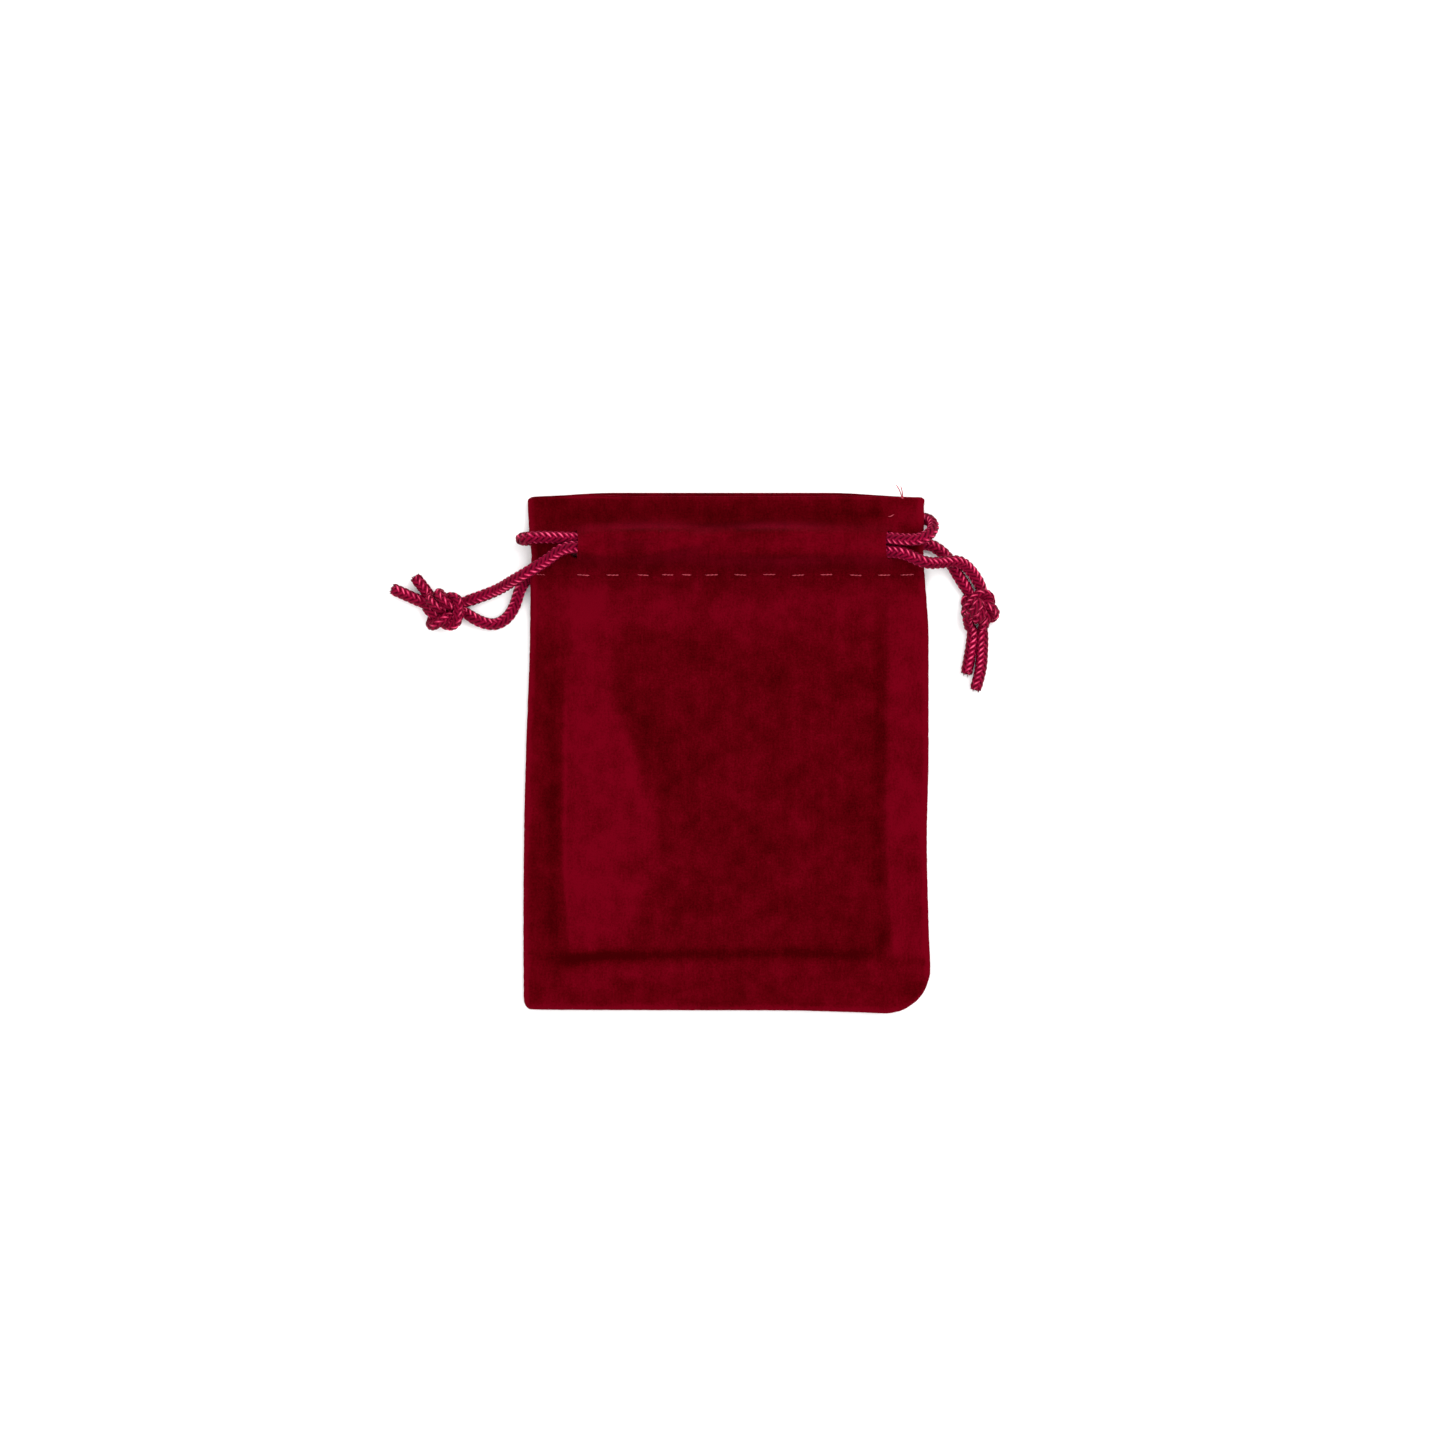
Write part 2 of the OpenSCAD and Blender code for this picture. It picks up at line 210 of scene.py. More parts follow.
# Where the two strands go into each knot, and the knot's middle
LEFT_THROAT, LEFT_KNOT = [(-45.7, 26.6, 1.9), (-45.5, 24.4, 1.6)], (-49.5, 24.9, 2.7)
RIGHT_THROAT, RIGHT_KNOT = [(44.7, 28.4, 1.8), (42.7, 27.9, 1.6)], (44.1, 25.1, 2.7)
# The length of each strand in a knot, and how hard the knot is drawn together
LEFT_TIE, RIGHT_TIE = (24, 0.004), (22, 0.012)
# Where the drawstrings leave the cloth
LEFT_EXIT, RIGHT_EXIT = (-35.6, 30.9, 5.8), (35.0, 33.2, 5.6)


def smooth_line(points, step):
    """Points a step apart along a smooth curve through the given ones."""
    p = np.array(points, float)
    h = np.linalg.norm(np.diff(p, axis=0), axis=1)
    slope = np.diff(p, axis=0) / h[:, None]
    m = np.vstack([slope[:1],
                   (slope[:-1] * h[1:, None] + slope[1:] * h[:-1, None])
                   / (h[1:] + h[:-1])[:, None],
                   slope[-1:]])
    t = np.linspace(0, 1, 24, endpoint=False)[:, None]
    pieces = [hermite(t, h[i], p[i], p[i + 1], m[i], m[i + 1]) for i in range(len(h))]
    return evenly(np.vstack(pieces + [p[-1:]]), step)


def evenly(line, step, count=None):
    run = np.concatenate([[0], np.cumsum(np.linalg.norm(np.diff(line, axis=0), axis=1))])
    count = count or int(round(run[-1] / step)) + 1
    at = np.linspace(0, run[-1], count)
    return np.stack([np.interp(at, run, line[:, k]) for k in range(3)], axis=1)


def frames(line):
    """Tangent, normal and binormal along a line, turning as little as possible."""
    tangent = np.gradient(line, axis=0)
    tangent /= np.linalg.norm(tangent, axis=1)[:, None]
    normal = np.zeros_like(line)
    first = np.cross(tangent[0], (0, 0, 1.0))
    normal[0] = first / np.linalg.norm(first)
    for i in range(1, len(line)):
        n = normal[i - 1] - tangent[i] * (normal[i - 1] @ tangent[i])
        normal[i] = n / np.linalg.norm(n)
    return tangent, normal, np.cross(tangent, normal)


# ---- meshes ----
def make_mesh(name, points_mm, quads, uv, material, uv_name="cloth"):
    """A mesh object from points in millimetres, quads of point numbers, and a UV pair for
    each corner of each quad."""
    points, quads = np.asarray(points_mm, float), np.asarray(quads, np.int32)
    mesh = bpy.data.meshes.new(name)
    mesh.vertices.add(len(points))
    mesh.vertices.foreach_set("co", (points * MM).astype(np.float32).ravel())
    mesh.loops.add(quads.size)
    mesh.loops.foreach_set("vertex_index", quads.ravel())
    mesh.polygons.add(len(quads))
    mesh.polygons.foreach_set("loop_start", np.arange(0, quads.size, 4, dtype=np.int32))
    mesh.update(calc_edges=True)
    mesh.polygons.foreach_set("use_smooth", np.ones(len(quads), bool))
    if uv is not None:
        layer = mesh.uv_layers.new(name=uv_name)
        layer.data.foreach_set("uv", np.asarray(uv, np.float32).ravel())
    mesh.materials.append(material)
    mesh.validate()
    mesh.update()
    obj = bpy.data.objects.new(name, mesh)
    bpy.context.scene.collection.objects.link(obj)
    return obj


# ---- materials ----
class Nodes:
    """Short calls that add and join shader nodes."""

    def __init__(self, name):
        self.material = bpy.data.materials.new(name)
        self.material.use_nodes = True
        self.tree = self.material.node_tree
        self.shader = self.tree.nodes["Principled BSDF"]

    def add(self, kind, inputs=None, **settings):
        node = self.tree.nodes.new(kind)
        for key, value in settings.items():
            setattr(node, key, value)
        for key, value in (inputs or {}).items():
            self.put(node.inputs[key], value)
        return node

    def put(self, socket, value):
        if isinstance(value, bpy.types.NodeSocket):
            self.tree.links.new(value, socket)
        else:
            socket.default_value = value

    def uv(self, name, scale=(1, 1, 1)):
        source = self.add("ShaderNodeUVMap", uv_map=name)
        return self.add("ShaderNodeMapping", {"Vector": source.outputs["UV"], "Scale": scale}
                        ).outputs["Vector"]

    def noise(self, vector, scale, detail=2.0, rough=0.5):
        return self.add("ShaderNodeTexNoise", {"Vector": vector, "Scale": scale,
                                               "Detail": detail, "Roughness": rough}
                        ).outputs["Fac"]

    def ramp(self, value, *stops):
        node = self.add("ShaderNodeValToRGB", {"Fac": value})
        while len(node.color_ramp.elements) < len(stops):
            node.color_ramp.elements.new(0.5)
        for element, (place, colour) in zip(node.color_ramp.elements, stops):
            element.position = place
            element.color = (*colour, 1)
        return node.outputs["Color"]

    def mix(self, factor, a, b, kind="MIX"):
        node = self.add("ShaderNodeMix", data_type="RGBA", blend_type=kind)
        self.put(node.inputs[0], factor)
        self.put(node.inputs[6], a)
        self.put(node.inputs[7], b)
        return node.outputs[2]

    def math(self, operation, a, b=0.0):
        node = self.add("ShaderNodeMath", operation=operation)
        self.put(node.inputs[0], a)
        self.put(node.inputs[1], b)
        return node.outputs[0]

    def vary(self, value, noise, amount):
        """A value with a noise added that swings about nothing by the amount."""
        swing = self.math("MULTIPLY", self.math("SUBTRACT", noise, 0.5), amount)
        return self.math("ADD", value, swing)

    def bump(self, height, strength, distance):
        return self.add("ShaderNodeBump", {"Height": height, "Strength": strength,
                                           "Distance": distance}).outputs["Normal"]

    def set(self, **values):
        for key, value in values.items():
            self.put(self.shader.inputs[key.replace("_", " ")], value)


def velvet_material():
    """Wine-red pile: its tone is the nap, with painted light and shade, that the cloth's points
    carry, with soft clouds and fine grain added."""
    n = Nodes("velvet")
    place = n.uv("cloth")
    pile = n.noise(place, 3.0, 3.0, 0.75)
    rows = n.noise(n.uv("cloth", (2.4, 0.5, 1)), 1.0, 2.0, 0.6)
    pile = n.math("ADD", n.math("MULTIPLY", pile, 0.75), n.math("MULTIPLY", rows, 0.25))
    cloud = n.noise(place, 0.28, 5.0, 0.62)
    tone = n.add("ShaderNodeAttribute", attribute_name="nap_and_painted_light").outputs["Fac"]
    tone = n.vary(n.vary(tone, cloud, 1.15), pile, 2.1)
    colour = n.ramp(tone, (0.0, (0.030, 0.0000, 0.0005)), (0.50, (0.062, 0.0002, 0.0018)),
                    (1.0, (0.104, 0.0004, 0.0046)))
    n.set(Base_Color=colour, Roughness=0.95, Specular_IOR_Level=0.02)
    n.set(Specular_Tint=(1.0, 0.02, 0.10, 1), Sheen_Weight=0.7, Sheen_Roughness=0.24)
    n.set(Sheen_Tint=(0.80, 0.005, 0.06, 1))
    n.set(Normal=n.bump(pile, 0.6, 0.00020))
    return n.material


def backing_material():
    """The knitted back of the velvet."""
    n = Nodes("cloth_backing")
    knit = n.add("ShaderNodeTexWave", {"Vector": n.uv("cloth"), "Scale": 1.4,
                                       "Distortion": 0.8, "Detail": 1.0})
    colour = n.ramp(knit.outputs["Fac"], (0.2, (0.07, 0.002, 0.006)),
                    (0.8, (0.16, 0.005, 0.018)))
    n.set(Base_Color=colour, Roughness=0.85)
    n.set(Normal=n.bump(knit.outputs["Fac"], 0.5, 0.0001))
    return n.material


def cord_material():
    """Crimson yarn with a painted highlight along the crown of each strand, brightest where it
    comes to the surface of the braid."""
    n = Nodes("braided_cord")
    fibre = n.noise(n.uv("yarn", (1.0, 12.0, 1)), 1.0, 2.0, 0.5)
    shade = n.noise(n.uv("yarn", (0.9, 0.6, 1)), 1.0, 2.0, 0.5)
    place = n.add("ShaderNodeSeparateXYZ", {"Vector": n.uv("yarn")}).outputs
    from_crown = n.math("SUBTRACT", n.math("FRACT", place["Y"]), CROWN)
    from_top = n.math("SUBTRACT", n.math("FRACT", place["X"]), 0.5)
    # painted highlight along each yarn's crown, brightest in the middle of each stretch where it
    # lies on top
    from_highlight = n.math("ADD", n.math("ABSOLUTE", from_crown),
                   n.math("MULTIPLY", n.math("ABSOLUTE", from_top), 0.30))
    from_highlight = n.vary(from_highlight, fibre, 0.20)
    colour = n.ramp(from_highlight, (0.015, (0.780, 0.0850, 0.180)), (0.060, (0.340, 0.0110, 0.055)),
                    (0.11, (0.175, 0.0007, 0.0180)), (0.32, (0.078, 0.0003, 0.0078)))
    colour = n.mix(0.8, colour, n.ramp(shade, (0.3, (0.62, 0.6, 0.6)), (0.7, (1.25, 1.3, 1.3))),
                   "MULTIPLY")
    n.set(Base_Color=colour, Roughness=0.6, Specular_IOR_Level=0.10)
    n.set(Specular_Tint=(1.0, 0.20, 0.38, 1))
    n.set(Normal=n.bump(fibre, 0.5, 0.00006))
    return n.material


def thread_material():
    """Coral-red sewing thread."""
    n = Nodes("sewing_thread")
    fibre = n.noise(n.uv("yarn", (1.5, 6.0, 1)), 1.0, 2.0, 0.5)
    colour = n.ramp(fibre, (0.3, (0.20, 0.006, 0.020)), (0.7, (0.46, 0.040, 0.065)))
    n.set(Base_Color=colour, Roughness=0.55)
    n.set(Normal=n.bump(fibre, 0.4, 0.00004))
    return n.material


def floor_material():
    n = Nodes("floor")
    tone = n.noise(n.add("ShaderNodeTexCoord").outputs["Object"], 3.0)
    n.set(Base_Color=n.ramp(tone, (0.3, (0.90, 0.90, 0.90)), (0.7, (0.93, 0.93, 0.93))))
    n.set(Roughness=0.8, Specular_IOR_Level=0.1)
    return n.material


# ---- the braid ----
YARNS = 6                  # yarns that wind each way round the cord
LAY = 6.0                  # length of cord in which a yarn goes once round
YARN_WIDTH, YARN_DEPTH, YARN_SIDES = 0.69, 0.34, 6
BRAID_RADIUS, WEAVE = 0.81, 0.13      # radius of the yarns' middles, and how far it swings
CORE_RADIUS = 0.72
BRAID_STEP = 0.25
CROWN = 0.25               # where a yarn's outermost line is, as a share of the way round it
TAPER = np.array([0.04, 0.62, 0.92])  # how much of its size a tube has at its ends
FRAY_FIBRES = 16


def tube(path, out, wide, deep, sides, row, u=None):
    """A tube of elliptical section round a path, open at its ends, where it narrows to a
    pinhole. Its faces look inwards. wide and deep are its half sizes across and along out,
    the direction away from the cord. Its UVs are u, or else the length run, and row plus the
    share of the way round."""
    along = np.gradient(path, axis=0)
    along /= np.linalg.norm(along, axis=1)[:, None]
    broad = np.cross(along, out)
    broad /= np.linalg.norm(broad, axis=1)[:, None]
    thick = np.cross(broad, along)
    count = len(path)
    size = np.ones(count)
    size[:len(TAPER)] = TAPER
    size[-len(TAPER):] = TAPER[::-1]
    angle = np.arange(sides) * 2 * np.pi / sides
    ring = (path[:, None, :]
            + np.cos(angle)[None, :, None] * (wide * size)[:, None, None] * broad[:, None, :]
            + np.sin(angle)[None, :, None] * (deep * size)[:, None, None] * thick[:, None, :])
    i = np.arange(count - 1)[:, None]
    k = np.arange(sides)[None, :]
    m = (k + 1) % sides
    quads = np.stack([i * sides + k, i * sides + m, (i + 1) * sides + m, (i + 1) * sides + k],
                     axis=-1).reshape(-1, 4)
    if u is None:
        u = np.concatenate([[0], np.cumsum(np.linalg.norm(np.diff(path, axis=0), axis=1))])
    round_it = np.arange(sides + 1) / sides + row
    grid = np.stack(np.broadcast_arrays(u[:, None], round_it), axis=-1)
    uv = np.stack([grid[:-1, :-1], grid[:-1, 1:], grid[1:, 1:], grid[1:, :-1]], axis=2)
    return ring.reshape(-1, 3), quads, uv.reshape(-1, 4, 2)


def gather(parts):
    """Joins tubes into one set of points, quads and UVs."""
    points, quads, uvs, first = [], [], [], 0
    for p, q, uv in parts:
        points.append(p)
        quads.append(q + first)
        uvs.append(uv)
        first += len(p)
    return np.vstack(points), np.vstack(quads), np.vstack(uvs)


def braid(line, girth):
    """A round braid along a line: six yarns each way, each going over two and under two.
    girth scales its radius along the line."""
    _, normal, across = frames(line)
    run = np.arange(len(line)) * BRAID_STEP
    wide, deep = np.sqrt(girth) * YARN_WIDTH / 2, np.sqrt(girth) * YARN_DEPTH / 2
    parts = []
    for way in (1, -1):
        for yarn in range(YARNS):
            turn = 2 * np.pi * (yarn / YARNS + way * run / LAY)
            beat = 2 * np.pi * (way * 2 * YARNS * run / LAY + 2 * yarn - 0.5) / 4
            radius = (BRAID_RADIUS + way * WEAVE * np.cos(beat)) * girth
            out = np.cos(turn)[:, None] * normal + np.sin(turn)[:, None] * across
            parts.append(tube(line + radius[:, None] * out, out, wide, deep, YARN_SIDES,
                              yarn + 7 * (way > 0), beat / (2 * np.pi) + 40.5))
    core = CORE_RADIUS * girth
    parts.append(tube(line, normal, core, core, 8, 20))
    return gather(parts)


# ---- knots ----
KNOT_GIRTH, KNOT_RADIUS = 0.84, 0.82      # the soft braid is squeezed where it is knotted
KNOT_POINTS = 96
HELD = 4               # points at each end of a knot that keep the direction of their strand
BEND = 5               # points over which a strand is kept from bending sharply
SINK = 0.004           # how far the knot settles towards the floor at each round


def loose_knot(comes_in, goes_out, centre, flip):
    """Two strands side by side along a loose overhand loop round the centre."""
    starts, ends = comes_in[:, 0], goes_out[:, 0]
    ahead = ends.mean(0) - starts.mean(0)
    ahead[2] = 0
    ahead /= np.linalg.norm(ahead)
    left = np.array([-ahead[1], ahead[0], 0])
    t = np.linspace(-2.05, 2.05, 160)
    loop = (centre + 1.7 * (t**3 - 3 * t)[:, None] * ahead
            + flip[0] * 1.5 * (t**4 - 4 * t**2 + 2)[:, None] * left
            + flip[1] * 0.55 * (t**5 - 10 * t)[:, None] * np.array([0, 0, 1.0]))
    flow = np.gradient(loop, axis=0)
    beside = np.stack([-flow[:, 1], flow[:, 0], 0 * t], axis=1)
    beside /= np.linalg.norm(beside, axis=1)[:, None]
    strands = []
    for k in range(2):
        lean = np.sign((starts[k] - starts.mean(0)) @ left)
        strands.append(evenly(np.vstack([starts[k], loop + lean * 0.95 * beside, ends[k]]),
                              1.0, KNOT_POINTS))
    return np.vstack(strands)


def tie_knot(comes_in, goes_out, centre, flip, length, squeeze, rounds=700):
    """Two strands tied together in one overhand knot. comes_in and goes_out hold, for each
    strand, where it meets the knot and the next point away from it. The strands start as a
    loose knot and are shortened until they hold each other."""
    comes_in, goes_out = np.array(comes_in, float), np.array(goes_out, float)
    centre = np.array(centre, float)
    p, n = loose_knot(comes_in, goes_out, centre, flip), KNOT_POINTS
    start = np.linalg.norm(np.diff(p[:n], axis=0), axis=1).sum()
    place = np.tile(np.arange(n), 2)
    free = ((place >= HELD) & (place < n - HELD)).astype(float)[:, None]
    for k in range(2):
        for (end, beyond), first, turn in ((comes_in[k], 0, 1), (goes_out[k], n - 1, -1)):
            way = (end - beyond) / np.linalg.norm(end - beyond)
            for h in range(HELD):
                p[k * n + first + turn * h] = end + way * length / (n - 1) * h
    a, b = np.triu_indices(2 * n, 1)
    skip = int(np.ceil(2.3 * KNOT_RADIUS / (length / n)))
    keep = (a // n != b // n) | (b - a > skip)
    a, b = a[keep], b[keep]
    pairs = [np.concatenate([np.arange(o, n - 1, 2), n + np.arange(o, n - 1, 2)])
             for o in (0, 1)]
    c = np.concatenate([np.arange(n - BEND), n + np.arange(n - BEND)])
    body = (np.abs(place - n / 2) < n * 0.38)[:, None] * free
    middle = np.abs(place - n / 2) < n * 0.3
    for step in range(rounds):
        # the strands get shorter, and keep their points evenly apart
        gap = lerp(start, length, soft(step / (0.8 * rounds))) / (n - 1)
        for _ in range(8):
            for first in pairs:
                d = p[first + 1] - p[first]
                far = np.linalg.norm(d, axis=1)[:, None]
                fix = 0.5 * (1 - gap / far) * d
                p[first] += fix * free[first]
                p[first + 1] -= fix * free[first + 1]
        # sharp bends open out
        d = p[c + BEND] - p[c]
        far = np.linalg.norm(d, axis=1)[:, None]
        fix = 0.15 * np.minimum(0, 1 - 0.86 * BEND * gap / far) * d
        np.add.at(p, c, fix * free[c])
        np.add.at(p, c + BEND, -fix * free[c + BEND])
        # strands that touch push each other apart, and lie no lower than the floor
        for _ in range(2):
            d = p[b] - p[a]
            far = np.sqrt((d * d).sum(1))
            hit = far < 2 * KNOT_RADIUS
            i, j = a[hit], b[hit]
            fix = 0.22 * (2 * KNOT_RADIUS / far[hit] - 1)[:, None] * d[hit]
            np.add.at(p, i, -fix * free[i])
            np.add.at(p, j, fix * free[j])
            p[:, 2] = np.maximum(p[:, 2] - SINK, KNOT_RADIUS + 0.05)
        # the whole is drawn together, and stays over its place
        p += squeeze * (centre - p) * body
        shift = 0.05 * (centre - p[middle].mean(0))
        shift[2] = 0
        p += shift * free * np.sin(np.pi * place / (n - 1))[:, None]
    return p[:n], p[n:]


def drawstring(name, route, throat, tails, centre, knot_length, squeeze):
    """One drawstring: a tail, the knot, the route through the casing and back, the knot
    again and the other tail, braided as one piece."""
    first, second = tie_knot([[throat[0], route[0]], [throat[1], route[-1]]],
                             [tail[:2] for tail in tails], centre, (-1, 1), knot_length,
                             squeeze)
    line = smooth_line(np.vstack([tails[0][:0:-1], first[::-3], route, second[::3],
                                  tails[1][1:]]), BRAID_STEP)
    away = np.linalg.norm((line - centre)[:, :2], axis=1)
    loose = (soft((away - 3.4) / 2.5) * lerp(1, 0.08, soft((away - 6.5) / 3)))[1:-1, None]
    for _ in range(160):
        line[1:-1] += 0.25 * loose * (line[:-2] + line[2:] - 2 * line[1:-1])
        line[:, 2] = np.maximum(line[:, 2], lerp(KNOT_RADIUS, CORD / 2, ramp(away - 4)) + 0.02)
    line = evenly(line, BRAID_STEP)
    away = np.linalg.norm((line - centre)[:, :2], axis=1)
    girth = lerp(KNOT_GIRTH, 1.0, soft((away - 3.0) / 2.0))
    strands = [braid(line, girth)]
    draw = np.random.default_rng(len(name))
    for end, inward in ((line[0], line[2]), (line[-1], line[-3])):
        strands += fray(end, end - inward, draw)
    piece = make_mesh(name, *gather(strands), CORDS, "yarn")
    return piece, line


def fray(end, way, draw):
    """Short loose fibres at a cut end."""
    way = way / np.linalg.norm(way)
    fibres = []
    for k in range(FRAY_FIBRES):
        goes = way + draw.normal(0, 0.35, 3)
        goes /= np.linalg.norm(goes)
        start = end - 0.25 * way + 0.8 * draw.uniform(0, 1) ** 0.5 * across_unit(way, draw)
        length = draw.uniform(0.3, 0.6)
        bend = draw.normal(0, 0.3, 3)
        t = np.linspace(0, 1, 7)[:, None]
        path = start + length * (t * goes + t * t * bend)
        path[:, 2] = np.maximum(path[:, 2], 0.06)
        fibres.append(tube(path, across_unit(goes, draw), 0.05, 0.05, 3, 40 + k))
    return fibres


def across_unit(way, draw):
    side = np.cross(way, draw.normal(0, 1, 3))
    return side / np.linalg.norm(side)


# ---- the pouch's outline and heights ----
left_edge = Curve((-46, -35.4), (-42, -35.65), (-30, -35.7), (-15, -35.6), (0, -35.25),
                  (20, -34.55), (28, -34.45), (34, -34.25), (41, -34.8), (46, -35.0))
right_edge = Curve((-46, 35.3), (-38, 35.7), (-30, 35.4), (-15, 35.1), (0, 35.4),
                   (20, 35.4), (30, 34.8), (36, 34.4), (42, 34.5), (46, 34.8))
bottom_edge = Curve((-35.7, -43.9), (-35.3, -44.6), (-34.6, -44.95), (-28, -45.05),
                    (-10, -45.1), (10, -45.15), (22, -45.45), (28, -45.65), (30.4, -45.25),
                    (33.0, -43.8), (34.9, -41.4), (35.6, -39.3), (35.8, -38.0))
rumple = Waves(3, 7.0, 32.0)
nap_waves = Waves(5, 2.5, 16.0, stretch=(1.0, 1.6))
fuzz = Waves(11, 0.9, 2.2)
EDGE = {-1: left_edge, 1: right_edge}


class Field:
    """A height over the mouth end of the pouch, kept on a fine raster."""
    STEP = 0.3
    X, Y = np.arange(-42, 42.01, STEP), np.arange(18, 50.01, STEP)
    GX, GY = np.meshgrid(X, Y, indexing="ij")

    def __init__(self, height):
        self.z = height

    def __call__(self, x, y):
        i = np.clip((x - self.X[0]) / self.STEP, 0, len(self.X) - 1.001)
        j = np.clip((y - self.Y[0]) / self.STEP, 0, len(self.Y) - 1.001)
        a, b = i.astype(int), j.astype(int)
        s, t = i - a, j - b
        z = self.z
        return lerp(lerp(z[a, b], z[a + 1, b], s), lerp(z[a, b + 1], z[a + 1, b + 1], s), t)


UPPER_RUN = 4.9      # the drawstrings' upper runs are over this height, the lower ones under it


def tops(points, margin=0.04):
    """Height of the upper side of some cord over the raster, or far below elsewhere."""
    high = np.full(Field.GX.shape, -99.0)
    radius = CORD / 2 + margin
    reach = int(np.ceil(radius / Field.STEP))
    ci = np.round((points[:, 0] - Field.X[0]) / Field.STEP).astype(int)
    cj = np.round((points[:, 1] - Field.Y[0]) / Field.STEP).astype(int)
    for di in range(-reach, reach + 1):
        for dj in range(-reach, reach + 1):
            i, j = ci + di, cj + dj
            d2 = (Field.X[i] - points[:, 0])**2 + (Field.Y[j] - points[:, 1])**2
            near = d2 < radius * radius
            np.maximum.at(high, (i[near], j[near]),
                          points[near, 2] + np.sqrt(radius * radius - d2[near]))
    return high


def round_about(z):
    """The mean of the four neighbours of each place on the raster."""
    wide = np.pad(z, 1, mode="edge")
    return (wide[:-2, 1:-1] + wide[2:, 1:-1] + wide[1:-1, :-2] + wide[1:-1, 2:]) / 4


def drape(under, rounds, weight, held=None):
    """Cloth let down over what is under it: stretched smooth, but never below it. It stays
    where it is on the places held."""
    z = under.copy()
    for _ in range(rounds):
        z = np.maximum(under, round_about(z) - weight)
        if held is not None:
            z[held] = under[held]
    for _ in range(3):
        z = 0.5 * z + 0.5 * round_about(z)
    return Field(z)


def pick(lines, keep):
    """Those points of the drawstrings at the mouth for which keep(x, z) is true."""
    points = np.vstack(lines)
    points = points[(points[:, 1] > 20) & (points[:, 1] < 46) & (np.abs(points[:, 0]) < 40)]
    return points[keep(points[:, 0], points[:, 2])]


def pulled_out(lines):
    """The upper run of each cord as it lies when pulled right out, over the half of the
    mouth that stays put then, and let down to the slit."""
    parts = []
    for line, side in zip(lines, (-1, 1)):
        moved = line + np.array((side * TRAVEL, 0, 0))
        x, slit = moved[:, 0], SLIT[side]
        moved[:, 2] = np.minimum(moved[:, 2], 5.6 + 2.6 * soft((np.abs(slit - x) - 0.5) / 5))
        parts.append(moved[(x * side > -1) & (x * side < slit * side) & (line[:, 2] > UPPER_RUN)
                           & (moved[:, 1] > SLIT_LOW + 0.1)])
    return np.vstack(parts)


def slit_gape(y):
    """How far open the slits stand along their length, from 0 to 1."""
    middle, half = (SLIT_LOW + SLIT_HIGH) / 2, (SLIT_HIGH - SLIT_LOW) / 2
    return np.sqrt(ramp(1 - ((y - middle) / half) ** 2))


def hem_groove(x, y):
    """The line of stitches pulls the casing down, deepest where the thread goes through."""
    ends = np.full(np.shape(x), 9.0)
    for start, length in HEM:
        ends = np.minimum(ends, np.minimum(np.abs(x - start), np.abs(x - start - length)))
    deep = 0.13 + 0.20 * np.exp(-(ends / 0.5) ** 2)
    return deep * np.exp(-((y - HEM_Y) / 0.5) ** 2)


def panel_height(x, y):
    """Underside of the front panel over the empty inside: it lies on the seam allowances
    round its edge and sinks between them."""
    wander = 0.5 * rumple(0 * x, 0.4 * y)
    left = x + 28.8 - 0.35 * wander
    inside = np.minimum(np.minimum(left, 27.9 + 0.5 * wander - x), y + 36.4)
    shelf = soft(0.5 - inside / 1.3)
    sag = soft(0.5 - (inside - 5.0) / 15.0)
    return lerp(SLACK, FRONT_BASE, 0.55 * shelf + 0.45 * sag)


def lay_cloth(lines):
    """The heights of the plies at the mouth, each draped on the one below and the cords."""
    gx, gy = Field.GX, Field.GY

    def between(x, past):
        return (x > SLIT[-1] - past) & (x < SLIT[1] + past)

    over = {}
    below = tops(pick(lines, lambda x, z: ~between(x, 1) & (z < 2.6) & (np.abs(x) < 36.6)))
    over["back"] = drape(np.maximum(below, 0), 40, 0.012)
    pucker = 0.16 * soft((2.6 - np.abs(gy - HEM_Y)) / 2.2)
    lifted = np.where(between(gx, 0.4), 0, over["back"].z) + pucker
    over["back_in"] = Field(pucker)
    over["back"] = Field(over["back"].z + pucker)
    cords = tops(pick(lines, lambda x, z: between(x, 0.5) & (z < UPPER_RUN)))
    hem = np.abs(gy - HEM_Y) < 0.35
    facing = drape(np.maximum(PLY + lifted, cords), 45, 0.012, hem)
    over["back_facing"] = facing
    over["front_facing"] = Field(facing.z + PLY - 0.08)
    plies = soft((gy - FACING_Y + 0.8) / 1.0)
    empty = panel_height(gx, gy) + lifted
    bed = lerp(empty, np.maximum(facing.z + 2 * PLY - 0.05, empty), plies)
    bed = np.maximum(bed, lerp(0, FRONT_BASE, plies))
    cords = tops(pick(lines, lambda x, z: between(x, 0.2) & (z > UPPER_RUN)))
    cords = np.maximum(cords, tops(pulled_out(lines)))
    over["front"] = drape(bed, 6, 0.0, hem)
    over["front_in"] = drape(np.maximum(bed, cords), 55, 0.016, hem)
    return over


def front_height(x, y, out):
    """Underside of the front cloth. out says how far it lies as it does past the slits,
    where no cord is under it."""
    mouth = lerp(OVER["front_in"](x, y), OVER["front"](x, y), out)
    low = panel_height(x, y)
    neck = soft((y - 19.5) / 5)
    near_hem = soft((y - 25) / 8)
    uneven = 0.12 * rumple(x, y) * (1 - 0.7 * near_hem)
    return lerp(low, mouth, neck) + uneven - hem_groove(x, y)


def back_height(x, y, out):
    return lerp(OVER["back_in"](x, y), OVER["back"](x, y), out)


# Where the pile was stroked: lighter to the left of this line, which runs down the panel
brushed = Curve((-34, -15), (-13, -12.3), (0, -14.6), (10, -17.8), (26, -20))


def band(v, place, half):
    return np.exp(-((v - place) / half) ** 2)


